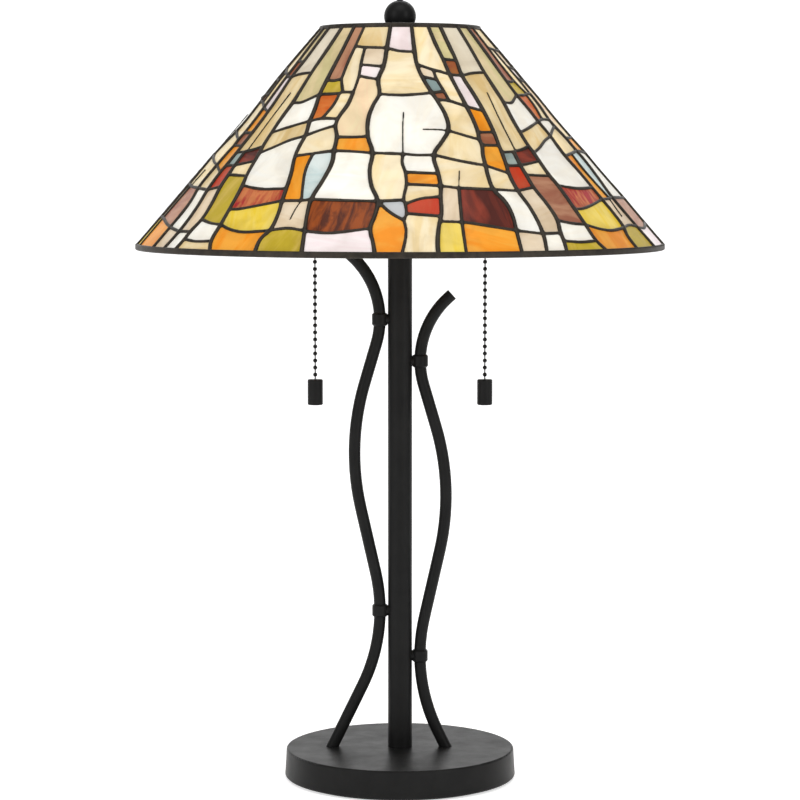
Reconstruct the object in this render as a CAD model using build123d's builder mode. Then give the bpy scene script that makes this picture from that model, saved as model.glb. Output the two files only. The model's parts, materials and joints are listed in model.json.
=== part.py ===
"""Table lamp with a leaded glass cone shade on a black metal stand.

Frame: +Z up, origin at the middle of the base's underside, +X to the lamp's right, -Y to its front.
Millimetres and degrees. Angles round the shade are measured from the front, growing towards +X.
"""
from build123d import *
import os
from math import atan2, cos, radians, sin, tan

os.makedirs("parts", exist_ok=True)

# ---------------------------------------------------------------- driving dimensions
# Shade: a straight cone, measured on its outer face
shade_rim_r = 203.2
shade_top_r = 60.8
shade_rim_rise = 4.8
shade_height = 165.8
glass_thick = 3.0
glass_gap = 1.0
solder_proud = 0.5
repeats = 4

# Rim channel and top ring of the shade
rim_height = 4.6
rim_width = 6.4
rim_edge_r = 1.0
ring_height = 3.6
ring_width = 5.6
ring_edge_r = 1.0
ring_drop = 1.7
ring_proud = 0.9

# Vented cap inside the top ring
cap_thick = 1.5
cap_lip_thick = 1.4
cap_lip_height = 4.9
cap_vent_r = 4.5
cap_vent_pitch_r = 38.0
cap_vents = 12

# Base
base_bottom_r = 90.0
base_top_r = 88.7
base_thick = 21.8
base_edge_r = 1.5
pad_r = 84.0
pad_thick = 1.5
recess_r = 22.0
recess_depth = 11.0
outlet_r = 3.6
outlet_seat_r = 7.0
outlet_seat_depth = 3.0
bushing_length = 12.0
bushing_wall = 0.8
bushing_flange_r = 6.6

# Column and the threaded pipe inside it
column_r = 9.4
column_wall = 2.1
column_top_z = 410.0
pipe_r = 4.9
pipe_bore_r = 3.0
pipe_tail = 8.0
fit_play = 0.05
nut_across = 16.0
nut_thick = 5.0
washer_r = 13.0
washer_thick = 1.5

# S-shaped rods: leans are from the upright, bends are the arcs at the waist, bulge and neck
rod_r = 4.6
rod_gap = 1.6
rod_foot_lean = 26.0
rod_mid_lean = 12.8
rod_upper_lean = 16.4
rod_tip_lean = 48.0
rod_waist_bend = 135.0
rod_bulge_bend = 192.0
rod_neck_bend = 66.0
rod_tip_rise = 51.5

# Collars that tie the rods to the column
collar_wall = 1.3
collar_height = 9.7
collar_play = 0.2
collar_edge = 1.0
collar_stub_r = 3.9
collar_rises = {"left": 107.6, "right": 72.0}
collar_drops = {"left": 51.9, "right": 84.1}
grub_r = 1.5
grub_length = 1.2

# Cluster body, arms and the riser that carries the shade
neck_ring_r = 11.5
neck_ring_thick = 4.0
neck_ring_edge = 1.0
neck_spigot = 6.0
cluster_r = 14.0
cluster_height = 24.0
cluster_wall = 5.0
cluster_edge = 2.0
arm_r = 5.0
arm_bore_r = 3.2
arm_bend = 9.0
arm_rise = 12.0
arm_seat = 2.0
lead_r = 1.6
riser_r = 5.0
riser_bore_r = 2.4
stud_r = 3.1
stud_play = 0.2
stud_end_gap = 1.5
riser_plug = 8.0
seat_r = 11.0
seat_thick = 1.6
running_gap = 0.3

# Sockets, upright on the arms
socket_x = 43.5
socket_cap_height = 15.0
socket_shell_height = 40.0
socket_r = 16.4
socket_wall = 0.9
socket_skirt = 3.0
socket_floor = 3.2
socket_lip = 0.5
socket_lip_height = 3.0
socket_foot_r = 7.0
core_step = 1.2
core_height = 24.0
core_lift = 9.4
screw_gap = 1.3
screw_wall = 0.7
screw_height = 20.0
wheel_r = 7.64
wheel_thick = 4.0
wheel_room = 0.8
wheel_notch_r = 1.8
wheel_notches = 8
pin_r = 1.45
pin_play = 0.05
pin_inset = 1.0
chain_guide_up = 27.0

# Bulbs
bulb_r = 28.0
bulb_neck_step = 0.1
bulb_reach = 74.0
bulb_wall = 1.0
bulb_play = 0.4
bulb_base_height = 22.0
bulb_tip_r = 5.0
bulb_tip_height = 3.0
bulb_tip_slope = 3.0
bulb_thread = 0.9
bulb_turns = 5
bulb_shoulder = 48

# Pull chains
bead_r = 1.65
bead_pitch = 5.45
wire_r = 0.5
bell_r = 4.4
bell_bore_r = 2.4
bell_gap = 0.5
bell_height = 18.0
bell_mouth = 0.8
bell_waist = 0.4
bell_mouth_height = 4.0
bell_lip = 1.0
bell_crown = 2.6
bell_crown_edge = 1.4
bell_roof = 2.5
bell_stub_r = 3.6
chain_hidden = 13.0
pull_r = 5.9
pull_height = 19.8
pull_drop = 171.2
pull_edge = 0.6

# Finial
finial_r = 12.25
finial_tip_r = 2.4
finial_tip_height = 1.6
finial_bore_depth = 11.0
finial_tip_sink = 0.6

# ---------------------------------------------------------------- worked-out places
base_top_z = pad_thick + base_thick
shade_rim_z = column_top_z + shade_rim_rise
shade_top_z = shade_rim_z + shade_height
recess_top_z = pad_thick + recess_depth
slope = atan2(shade_rim_r - shade_top_r, shade_top_z - shade_rim_z)
widen = tan(slope)
rim_top_z = shade_rim_z + rim_height / 2
rim_bottom_z = rim_top_z - rim_height
ring_bottom_z = shade_top_z - ring_drop
ring_top_z = ring_bottom_z + ring_height
ring_outer_r = shade_top_r + ring_proud
ring_inner_r = ring_outer_r - ring_width
rod_x = column_r + rod_gap + rod_r
collar_hole_r = rod_r + collar_play
collar_r = collar_hole_r + collar_wall
collar_heights = {
    side_name: (base_top_z + collar_rises[side_name], column_top_z - collar_drops[side_name])
    for side_name in collar_rises
}
cluster_z = column_top_z + neck_ring_thick
arm_z = cluster_z + cluster_height / 2
cluster_top_z = cluster_z + cluster_height
socket_z = arm_z + arm_rise - arm_seat
shell_z = socket_z + socket_cap_height
shell_top_z = shell_z + socket_shell_height
chain_guide_z = socket_z + chain_guide_up
chain_x = socket_x + socket_r + bell_gap + bell_mouth + bell_r
pull_bottom_z = chain_guide_z - pull_drop
screw_r = socket_r - socket_wall - screw_gap
core_r = screw_r - core_step
bulb_base_r = screw_r - screw_wall - bulb_play
bulb_neck_r = bulb_base_r - bulb_neck_step
wheel_z = chain_guide_z - wheel_r
cap_z = ring_top_z - cap_lip_height - cap_thick
seat_z = cap_z - running_gap - seat_thick
finial_z = cap_z + cap_thick + running_gap + finial_r
stud_top_z = finial_z - finial_r + finial_bore_depth - stud_end_gap


def outer_r(z):
    """Radius of the shade's outer face at a height."""
    return shade_top_r + (shade_top_z - z) * widen


def upright(x=0.0, y=0.0):
    """A sketch plane whose first direction is +X and second is +Z, standing at (x, y)."""
    return Plane(origin=(x, y, 0), x_dir=(1, 0, 0), z_dir=(0, -1, 0))


def turned(outline, x=0.0):
    """A solid turned about the upright line at x, from its (radius, height) outline."""
    with BuildPart() as made:
        with BuildSketch(upright(x)):
            with BuildLine():
                Polyline(*outline, close=True)
            make_face()
        revolve(axis=Axis((x, 0, 0), (0, 0, 1)))
    return made.part


def tube(x, low, high, outer, inner):
    """The outline of an upright tube."""
    return turned([(inner, low), (outer, low), (outer, high), (inner, high)], x)


def write(name, part):
    """Label one finished sub-part and write its STEP file."""
    part.label = name
    export_step(part, f"parts/{name}.step")


def sides():
    """The two mirrored sides of the lamp: name and sign along X."""
    return (("left", -1), ("right", 1))


# ---------------------------------------------------------------- base
with BuildPart() as base_disc:
    with BuildSketch(Plane.XZ):
        with BuildLine():
            Polyline(
                (pipe_r + fit_play, recess_top_z),
                (recess_r, recess_top_z),
                (recess_r, pad_thick),
                (base_bottom_r, pad_thick),
                (base_top_r, base_top_z),
                (pipe_r + fit_play, base_top_z),
                close=True,
            )
        make_face()
    revolve(axis=Axis.Z)
    rims = base_disc.edges().filter_by(GeomType.CIRCLE).sort_by(SortBy.RADIUS)[-2:]
    fillet(rims, base_edge_r)
    outlet_z = pad_thick + recess_depth / 2
    with BuildSketch(Plane.XZ.offset(-base_bottom_r)):
        with Locations((0, outlet_z)):
            Circle(outlet_r)
    extrude(amount=base_bottom_r - recess_r / 2, mode=Mode.SUBTRACT)
    with BuildSketch(Plane.XZ.offset(-base_bottom_r)):
        with Locations((0, outlet_z)):
            Circle(outlet_seat_r)
    extrude(amount=outlet_seat_depth, mode=Mode.SUBTRACT)
    floor_cut = Plane.XY.offset(pad_thick)
    split(bisect_by=floor_cut, keep=Keep.TOP)
write("base_disc", base_disc.part)

with BuildPart() as base_pad:
    Cylinder(pad_r, pad_thick, align=(Align.CENTER, Align.CENTER, Align.MIN))
write("base_pad", base_pad.part)

with BuildPart() as cord_bushing:
    seat_plane = Plane.XZ.offset(outlet_seat_depth - base_bottom_r)
    with BuildSketch(seat_plane):
        with Locations((0, outlet_z)):
            Circle(outlet_r - fit_play)
    extrude(amount=bushing_length)
    with BuildSketch(seat_plane):
        with Locations((0, outlet_z)):
            Circle(min(bushing_flange_r, outlet_z - pad_thick - fit_play))
    extrude(amount=-outlet_seat_depth)
    with BuildSketch(seat_plane.offset(-outlet_seat_depth)):
        with Locations((0, outlet_z)):
            Circle(outlet_r - bushing_wall)
    extrude(amount=bushing_length + outlet_seat_depth, mode=Mode.SUBTRACT)
write("cord_bushing", cord_bushing.part)

washer_z = recess_top_z - washer_thick
nut_z = washer_z - nut_thick
write("base_washer", tube(0, washer_z, recess_top_z, washer_r, pipe_r + fit_play))

with BuildPart() as base_nut:
    with BuildSketch(Plane.XY.offset(nut_z)):
        RegularPolygon(nut_across / 2, 6, major_radius=False)
        Circle(pipe_r + fit_play, mode=Mode.SUBTRACT)
    extrude(amount=nut_thick)
write("base_nut", base_nut.part)

# ---------------------------------------------------------------- column and pipe
pipe_top_z = cluster_z + cluster_wall
write("column_tube", tube(0, base_top_z, column_top_z, column_r, column_r - column_wall))
write("threaded_pipe", tube(0, recess_top_z - pipe_tail, pipe_top_z, pipe_r, pipe_bore_r))

spigot_r = column_r - column_wall - fit_play
write("column_cap", turned([
    (pipe_r + fit_play, column_top_z - neck_spigot),
    (spigot_r, column_top_z - neck_spigot),
    (spigot_r, column_top_z),
    (neck_ring_r - neck_ring_edge, column_top_z),
    (neck_ring_r, column_top_z + neck_ring_edge),
    (neck_ring_r, cluster_z - neck_ring_edge),
    (neck_ring_r - neck_ring_edge, cluster_z),
    (pipe_r + fit_play, cluster_z),
]))


# ---------------------------------------------------------------- rods and collars
def bend_corner(height, bend, lean_below, lean_above):
    """Corner of a bend whose arc stands upright beside the column at a collar's height."""
    half_turn = radians((lean_below + lean_above) / 2)
    tilt = radians((lean_above - lean_below) / 2)
    reach = bend / cos(half_turn)
    return rod_x + bend - reach * cos(tilt), height + reach * sin(tilt)


def rod_line(side, low_collar, high_collar):
    """Centre line of a rod from below the base's top to its tip, in the lamp's X-Z plane."""
    waist_x, waist_z = bend_corner(low_collar, rod_waist_bend, rod_foot_lean, rod_mid_lean)
    neck_x, neck_z = bend_corner(high_collar, rod_neck_bend, rod_upper_lean, rod_tip_lean)
    out_below, in_above = tan(radians(rod_mid_lean)), tan(radians(rod_upper_lean))
    rise = neck_x - waist_x + neck_z * in_above + waist_z * out_below
    bulge_z = rise / (in_above + out_below)
    bulge_x = waist_x + (bulge_z - waist_z) * out_below
    foot_z = base_top_z - 2 * rod_r
    tip_z = high_collar + rod_tip_rise
    corners = [
        (waist_x + (waist_z - foot_z) * tan(radians(rod_foot_lean)), foot_z),
        (waist_x, waist_z),
        (bulge_x, bulge_z),
        (neck_x, neck_z),
        (neck_x + (tip_z - neck_z) * tan(radians(rod_tip_lean)), tip_z),
    ]
    return [(side * x, z) for x, z in corners]


def rod(side, low_collar, high_collar):
    """A round rod swept along its bends and cut level where it stands on the base."""
    line = rod_line(side, low_collar, high_collar)
    start = Vector(line[0][0], 0, line[0][1])
    ahead = Vector(line[1][0], 0, line[1][1]) - start
    with BuildPart() as made:
        with BuildLine(Plane.XZ) as path:
            FilletPolyline(*line, radius=[rod_waist_bend, rod_bulge_bend, rod_neck_bend])
        with BuildSketch(Plane(origin=start, z_dir=ahead)):
            Circle(rod_r)
        sweep(path=path.wires()[0])
        split(bisect_by=Plane.XY.offset(base_top_z), keep=Keep.TOP)
    return made.part


def collar(side, z):
    """A barrel ring round the rod with a short stub that meets the column."""
    centre = side * rod_x
    with BuildPart() as made:
        with BuildSketch(upright(centre)):
            with BuildLine():
                Polyline(
                    (0, z - collar_height / 2),
                    (collar_r - collar_edge, z - collar_height / 2),
                    (collar_r, z - collar_height / 2 + collar_edge),
                    (collar_r, z + collar_height / 2 - collar_edge),
                    (collar_r - collar_edge, z + collar_height / 2),
                    (0, z + collar_height / 2),
                    close=True,
                )
            make_face()
        revolve(axis=Axis((centre, 0, 0), (0, 0, 1)))
        with BuildSketch(Plane(origin=(centre, 0, z), z_dir=(-side, 0, 0))):
            Circle(collar_stub_r)
        extrude(amount=rod_x - column_r / 2)
        with Locations((0, 0, z)):
            Cylinder(column_r, 3 * collar_height, mode=Mode.SUBTRACT)
        with Locations((centre, 0, z)):
            Cylinder(collar_hole_r, 3 * collar_height, mode=Mode.SUBTRACT)
        with BuildSketch(Plane(origin=(centre, 0, z), z_dir=(0, 1, 0))):
            Circle(grub_r + fit_play)
        extrude(amount=2 * collar_r, mode=Mode.SUBTRACT)
    return made.part


for side_name, side in sides():
    low_collar, high_collar = collar_heights[side_name]
    write(f"rod_{side_name}", rod(side, low_collar, high_collar))
    write(f"collar_{side_name}_lower", collar(side, low_collar))
    write(f"collar_{side_name}_upper", collar(side, high_collar))

with BuildPart() as collar_screws:
    for side_name, side in sides():
        for level in collar_heights[side_name]:
            with BuildSketch(Plane(origin=(side * rod_x, collar_hole_r, level), z_dir=(0, 1, 0))):
                Circle(grub_r)
            extrude(amount=grub_length)
write("collar_screws", collar_screws.part)

# ---------------------------------------------------------------- cluster, arms and riser
with BuildPart() as cluster_body:
    with BuildSketch(Plane.XZ):
        with BuildLine():
            Polyline(
                (pipe_r + fit_play, cluster_z),
                (cluster_r - cluster_edge, cluster_z),
                (cluster_r, cluster_z + cluster_edge),
                (cluster_r, cluster_top_z - cluster_edge),
                (cluster_r - cluster_edge, cluster_top_z),
                (riser_r + fit_play, cluster_top_z),
                (riser_r + fit_play, cluster_top_z - cluster_wall),
                (cluster_r - cluster_wall, cluster_top_z - cluster_wall),
                (cluster_r - cluster_wall, cluster_z + cluster_wall),
                (pipe_r + fit_play, cluster_z + cluster_wall),
                close=True,
            )
        make_face()
    revolve(axis=Axis.Z)
    with BuildSketch(Plane.YZ.offset(-cluster_r)):
        with Locations((0, arm_z)):
            Circle(arm_r + fit_play)
    extrude(amount=2 * cluster_r, mode=Mode.SUBTRACT)
write("cluster_body", cluster_body.part)


def bent(side, start_x, end_z, outer, inner):
    """A tube that leaves the cluster level and bends up to stand under its socket."""
    start = (side * start_x, 0, arm_z)
    with BuildPart() as made:
        with BuildLine(Plane.XZ) as path:
            FilletPolyline(
                (side * start_x, arm_z), (side * socket_x, arm_z), (side * socket_x, end_z),
                radius=arm_bend,
            )
        with BuildSketch(Plane(origin=start, z_dir=(side, 0, 0))):
            Circle(outer)
            if inner:
                Circle(inner, mode=Mode.SUBTRACT)
        sweep(path=path.wires()[0])
    return made.part


core_z = socket_z + core_lift
for side_name, side in sides():
    write(f"arm_{side_name}", bent(side, cluster_r - cluster_wall, arm_z + arm_rise, arm_r, arm_bore_r))
    write(f"lead_{side_name}", bent(side, 2 * lead_r, core_z, lead_r, 0))

write("riser", turned([
    (riser_bore_r, cluster_top_z - cluster_wall),
    (riser_r, cluster_top_z - cluster_wall),
    (riser_r, seat_z),
    (stud_r, seat_z),
    (stud_r, stud_top_z),
    (0, stud_top_z),
    (0, seat_z - riser_plug),
    (riser_bore_r, seat_z - riser_plug),
]))
write("shade_seat", tube(0, seat_z, seat_z + seat_thick, seat_r, stud_r + fit_play))


# ---------------------------------------------------------------- sockets
def socket_cap(side):
    """The domed lower cover of a socket, closed round the arm: a dome under a straight skirt."""
    centre = side * socket_x
    skirt_z = shell_z - socket_skirt
    floor_z = socket_z + socket_floor
    with BuildPart() as made:
        with BuildSketch(upright(centre)):
            with BuildLine():
                Line((arm_r + fit_play, socket_z), (socket_foot_r, socket_z))
                TangentArc((socket_r, skirt_z), (socket_foot_r, socket_z), tangent=(0, -1))
                Polyline(
                    (socket_r, skirt_z), (socket_r, shell_z),
                    (socket_r - socket_wall, shell_z), (socket_r - socket_wall, skirt_z),
                )
                TangentArc((socket_r - socket_wall, skirt_z), (socket_foot_r, floor_z), tangent=(0, -1))
                Polyline((socket_foot_r, floor_z), (arm_r + fit_play, floor_z),
                         (arm_r + fit_play, socket_z))
            make_face()
        revolve(axis=Axis((centre, 0, 0), (0, 0, 1)))
    return made.part


def socket_shell(side):
    """The upper tube of a socket with a rolled mouth and the hole for the chain guide."""
    centre = side * socket_x
    lip_z = shell_top_z - socket_lip_height
    with BuildPart() as made:
        add(turned([
            (socket_r - socket_wall, shell_z),
            (socket_r, shell_z),
            (socket_r, lip_z),
            (socket_r + socket_lip, lip_z + socket_lip),
            (socket_r + socket_lip, shell_top_z - socket_lip),
            (socket_r, shell_top_z),
            (socket_r - socket_wall, shell_top_z),
        ], centre))
        with BuildSketch(Plane(origin=(centre, 0, chain_guide_z), z_dir=(side, 0, 0))):
            Circle(bell_stub_r + fit_play)
        extrude(amount=2 * socket_r, mode=Mode.SUBTRACT)
    return made.part


def socket_core(side):
    """The moulded core: it holds the switch wheel on its pin, under the screw shell."""
    centre = side * socket_x
    with BuildPart() as made:
        with Locations((centre, 0, core_z)):
            Cylinder(core_r, core_height, align=(Align.CENTER, Align.CENTER, Align.MIN))
        with BuildSketch(upright(centre, wheel_thick / 2 + wheel_room)):
            with Locations((0, wheel_z)):
                Circle(wheel_r + wheel_room)
            with Locations((side * core_r / 2, chain_guide_z)):
                Rectangle(core_r + wheel_room, 2 * bell_bore_r)
        extrude(amount=wheel_thick + 2 * wheel_room, mode=Mode.SUBTRACT)
        with BuildSketch(upright(centre, core_r)):
            with Locations((0, wheel_z)):
                Circle(pin_r)
        extrude(amount=2 * core_r, mode=Mode.SUBTRACT)
    return made.part


def switch_wheel(side):
    """A notched wheel that the chain turns one quarter at each pull."""
    with BuildPart() as made:
        with BuildSketch(upright(side * socket_x, wheel_thick / 2)):
            with Locations((0, wheel_z)):
                Circle(wheel_r)
                Circle(pin_r + pin_play, mode=Mode.SUBTRACT)
                with PolarLocations(wheel_r, wheel_notches):
                    Circle(wheel_notch_r, mode=Mode.SUBTRACT)
        extrude(amount=wheel_thick)
    return made.part


def wheel_pin(side):
    """The pin through the core that the switch wheel turns on."""
    with BuildPart() as made:
        with BuildSketch(upright(side * socket_x, core_r - pin_inset)):
            with Locations((0, wheel_z)):
                Circle(pin_r)
        extrude(amount=2 * (core_r - pin_inset))
    return made.part


def chain_bell(side):
    """The guide on the socket's side that turns the chain down through its open mouth."""
    outer_x = side * chain_x
    top = chain_guide_z + bell_r
    low = top - bell_height
    with BuildPart() as made:
        with BuildSketch(upright(outer_x)):
            with BuildLine():
                Polyline(
                    (0, low),
                    (bell_r + bell_mouth, low),
                    (bell_r + bell_mouth, low + bell_lip),
                    (bell_r - bell_waist, low + bell_mouth_height),
                    (bell_r - bell_waist, chain_guide_z),
                    (bell_r - bell_crown_edge, top - bell_mouth),
                    (bell_r - bell_crown, top),
                    (0, top),
                    close=True,
                )
            make_face()
        revolve(axis=Axis((outer_x, 0, 0), (0, 0, 1)))
        stub_start = socket_x + socket_r - socket_wall
        with BuildSketch(Plane(origin=(side * stub_start, 0, chain_guide_z), z_dir=(side, 0, 0))):
            Circle(bell_stub_r)
        extrude(amount=chain_x - stub_start)
        with BuildSketch(Plane(origin=(side * stub_start, 0, chain_guide_z), z_dir=(side, 0, 0))):
            Circle(bell_bore_r)
        extrude(amount=chain_x - stub_start, mode=Mode.SUBTRACT)
        with BuildSketch(Plane.XY.offset(low)):
            with Locations((outer_x, 0)):
                Circle(bell_bore_r)
        extrude(amount=bell_height - bell_roof, mode=Mode.SUBTRACT)
    return made.part


def bulb_outline(inset):
    """Half outline of a bulb's glass, inset from its outer face."""
    centre_z = shell_top_z + bulb_reach - bulb_r
    low_z = core_z + core_height + bulb_base_height + bulb_tip_height
    ball_r = bulb_r - inset
    join = radians(-bulb_shoulder)
    return centre_z, low_z, ball_r, (ball_r * cos(join), centre_z + ball_r * sin(join))


def bulb_glass(side):
    """A thin glass envelope: a round head that narrows smoothly into the neck."""
    with BuildPart() as made:
        for inset, mode in ((0.0, Mode.ADD), (bulb_wall, Mode.SUBTRACT)):
            centre_z, low_z, ball_r, join = bulb_outline(inset)
            neck_r = bulb_neck_r - inset
            with BuildSketch(upright(side * socket_x)):
                with BuildLine():
                    CenterArc((0, centre_z), ball_r, -bulb_shoulder, bulb_shoulder + 90)
                    Line((0, centre_z + ball_r), (0, low_z))
                    Line((0, low_z), (neck_r, low_z))
                    TangentArc((neck_r, low_z), join, tangent=(0, 1))
                make_face()
            revolve(axis=Axis((side * socket_x, 0, 0), (0, 0, 1)), mode=mode)
    return made.part


def bulb_base(side):
    """The threaded metal base of a bulb with its contact tip."""
    low = core_z + core_height + running_gap
    outline = [(0, low), (bulb_tip_r, low), (bulb_base_r - bulb_tip_slope, low + bulb_tip_height)]
    pitch = (bulb_base_height - bulb_tip_height) / bulb_turns
    for turn in range(bulb_turns):
        z = low + bulb_tip_height + turn * pitch
        outline.append((bulb_base_r - bulb_thread, z))
        outline.append((bulb_base_r, z + 0.5 * pitch))
    top = core_z + core_height + bulb_base_height + bulb_tip_height
    outline.append((bulb_base_r - bulb_thread, top))
    outline.append((0, top))
    return turned(outline, side * socket_x)


def bead_chain(side):
    """Round beads on a thin wire, from inside the guide down to the pull."""
    top = chain_guide_z + bell_r - bell_height + chain_hidden
    low = pull_bottom_z + pull_height
    count = int((top - low - bead_r) // bead_pitch) + 1
    with BuildPart() as made:
        with Locations((side * chain_x, 0, low)):
            Cylinder(wire_r, top - low, align=(Align.CENTER, Align.CENTER, Align.MIN))
        with Locations(*[(side * chain_x, 0, top - n * bead_pitch) for n in range(count)]):
            Sphere(bead_r)
    return made.part


def chain_pull(side):
    """The plain cylinder that hangs on the chain."""
    with BuildPart() as made:
        with Locations((side * chain_x, 0, pull_bottom_z)):
            Cylinder(pull_r, pull_height, align=(Align.CENTER, Align.CENTER, Align.MIN))
        chamfer(made.edges().filter_by(GeomType.CIRCLE), pull_edge)
    return made.part


for side_name, side in sides():
    write(f"socket_cap_{side_name}", socket_cap(side))
    write(f"socket_shell_{side_name}", socket_shell(side))
    write(f"socket_core_{side_name}", socket_core(side))
    screw_z = core_z + core_height
    write(f"screw_shell_{side_name}", tube(side * socket_x, screw_z, screw_z + screw_height,
                                           screw_r, screw_r - screw_wall))
    write(f"switch_wheel_{side_name}", switch_wheel(side))
    write(f"wheel_pin_{side_name}", wheel_pin(side))
    write(f"chain_bell_{side_name}", chain_bell(side))
    write(f"bulb_glass_{side_name}", bulb_glass(side))
    write(f"bulb_base_{side_name}", bulb_base(side))
    write(f"bead_chain_{side_name}", bead_chain(side))
    write(f"chain_pull_{side_name}", chain_pull(side))

# ---------------------------------------------------------------- shade cap, ring, rim and finial
with BuildPart() as shade_cap:
    with BuildSketch(Plane.XZ):
        with BuildLine():
            Polyline(
                (stud_r + stud_play, cap_z),
                (ring_inner_r, cap_z),
                (ring_inner_r, ring_top_z),
                (ring_inner_r - cap_lip_thick, ring_top_z),
                (ring_inner_r - cap_lip_thick, cap_z + cap_thick),
                (stud_r + stud_play, cap_z + cap_thick),
                close=True,
            )
        make_face()
    revolve(axis=Axis.Z)
    with BuildSketch(Plane.XY.offset(cap_z)):
        with PolarLocations(cap_vent_pitch_r, cap_vents):
            Circle(cap_vent_r)
    extrude(amount=cap_thick, mode=Mode.SUBTRACT)
write("shade_cap", shade_cap.part)


def band(inner, outer, low, high, edge):
    """A ring with rounded edges."""
    with BuildPart() as made:
        with BuildSketch(Plane.XZ):
            with Locations(((inner + outer) / 2, (low + high) / 2)):
                RectangleRounded(outer - inner, high - low, edge)
        revolve(axis=Axis.Z)
    return made.part


write("top_ring", band(ring_inner_r, ring_outer_r, ring_bottom_z, ring_top_z, ring_edge_r))
rim_inner_r = shade_rim_r - rim_width
write("rim_channel", band(rim_inner_r, shade_rim_r, rim_bottom_z, rim_top_z, rim_edge_r))

with BuildPart() as finial:
    with Locations((0, 0, finial_z)):
        Sphere(finial_r)
    with Locations((0, 0, finial_z + finial_r - finial_tip_sink)):
        Cylinder(finial_tip_r, finial_tip_height, align=(Align.CENTER, Align.CENTER, Align.MIN))
    fillet(finial.edges().group_by(Axis.Z)[-1], finial_tip_height / 3)
    with BuildSketch(Plane.XY.offset(finial_z - finial_r)):
        Circle(stud_r + fit_play)
    extrude(amount=finial_bore_depth, mode=Mode.SUBTRACT)
write("finial", finial.part)

# ---------------------------------------------------------------- leaded glass
# One quarter of the shade, which repeats all round. Each seam is a line of solder down the shade,
# given as (degrees from the quarter's middle, hundredths of the way down the slope).
TOP, RIM = -3, 103
seams = {
    "L": [(-45, TOP), (-45.5, 10), (-46.4, 21), (-46.2, 28), (-46, 34.5), (-46.8, 42), (-47, 48),
          (-46.9, 54), (-46.5, 57), (-46.3, 60.5), (-45.8, 67), (-45, 71), (-44.3, 81.5), (-44, 88),
          (-43.8, 95), (-42.4, RIM)],
    "M": [(-34, TOP), (-34, 12), (-34.3, 24.5), (-34.2, 31), (-33, 38), (-32.7, 43), (-31.7, 49.5),
          (-32, 54), (-31.9, 58.3), (-30.5, 66), (-29.9, 72.3), (-29.5, 77.5), (-29, 84),
          (-29.3, 90), (-30.6, 93.5), (-30.6, RIM)],
    "N": [(-25.7, TOP), (-26.6, 9.3), (-27.1, 16), (-26.9, 24.3), (-23.8, 30.2), (-19.2, 30.2),
          (-20, 36), (-22, 42), (-22, 45), (-20.3, 50), (-19.8, 56), (-19.3, 61), (-20.2, 68),
          (-21.8, 76.8), (-21.6, 83), (-20.9, 90), (-20, RIM)],
    "O": [(-20.3, 9.9), (-19.9, 15), (-19.6, 17.8), (-18.9, 22.8), (-18.9, 26)],
    "Q": [(-6.6, TOP), (-7.4, 10.3), (-8, 18.8), (-9.6, 24.5), (-8.3, 31.2), (-10, 36), (-11, 42),
          (-10.1, 49.8), (-8, 57), (-8.2, 64), (-7.2, 71), (-5.3, 77.5), (-5.6, 83), (-6.4, 88.8),
          (-5.5, 95), (-5, RIM)],
    "R": [(8.2, TOP), (8, 12), (8.3, 17.8), (9.8, 23.2), (12.9, 30.6), (14.2, 33.6), (16.4, 42),
          (15.8, 47.2), (13, 52), (9.8, 57.8), (10.2, 65.8), (10.3, 71), (9.9, 75.6), (9.3, 83.8),
          (8.8, 86), (7.8, 94), (7.6, RIM)],
    "S": [(29.3, TOP), (29.7, 10), (30, 15.8), (29.4, 22.8), (31, 31), (31.9, 38.6), (32, 47.8),
          (31.6, 53.7), (31.4, 56.7), (30.9, 62.5), (30.5, 65.8), (30.8, 73.3), (32.1, 81),
          (32.2, 91.5), (31, RIM)],
    "T": [(20, TOP), (21.2, 8), (22.6, 15.4), (23.3, 22.3), (24.4, 29), (25.5, 36.6), (26.1, 43),
          (26, 48), (25.5, 51.2), (25.6, 53.6), (24.7, 58), (24.3, 62.4), (23.9, 67), (24, 72.6),
          (25.9, 78), (26.4, 84), (25.9, 90), (25.2, RIM)],
    "U": [(35.8, 56.3), (35.7, 62.3), (35.9, 66.5), (36.2, 71.8), (37.7, 80), (38, 86),
          (37, 91.3), (36.7, 94.6), (36, RIM)],
    "a": [(-41.5, 34.6), (-38, 33), (-41.5, 46), (-36.5, 44.2), (-42, 54.5), (-37, 51.5),
          (-42, 71.8), (-37, 72.6), (-41, 81.2), (-36, 79.7), (-41, 89.6), (-36, 90.9)],
    "b": [(-30.5, 25), (-29, 31), (-25.3, 27.4), (-25, 30.6), (-25.8, 36), (-28.2, 41.9),
          (-27, 47), (-26.2, 57.2), (-26.5, 64), (-25.3, 72), (-24.3, 77.3), (-25, 89)],
    "c": [(-15, 23.7), (-15, 50.1), (-14, 56.3), (-15, 90.8)],
    "d": [(0, 11.8), (2, 31.6), (0.9, 57.4), (5, 57.9), (0.6, 61), (1.4, 65.2), (1.6, 70.3),
          (0.9, 77), (1.2, 78.6), (5, 76.4), (1.4, 82.6), (0.9, 85.5), (-2.2, 82.2), (1.3, 90),
          (0.4, RIM)],
    "e": [(15.7, 20.2), (19, 21), (16.5, 24.8), (18.2, 29.9), (19.2, 34.2), (20.5, 49.2),
          (17, 60.4), (14.9, 71.9), (13.8, 86.3), (18.5, 87.6), (13.3, RIM)],
    "f": [(35, 21.6), (39.6, 55.4), (42, 87.4), (41, 95.3)],
}
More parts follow.
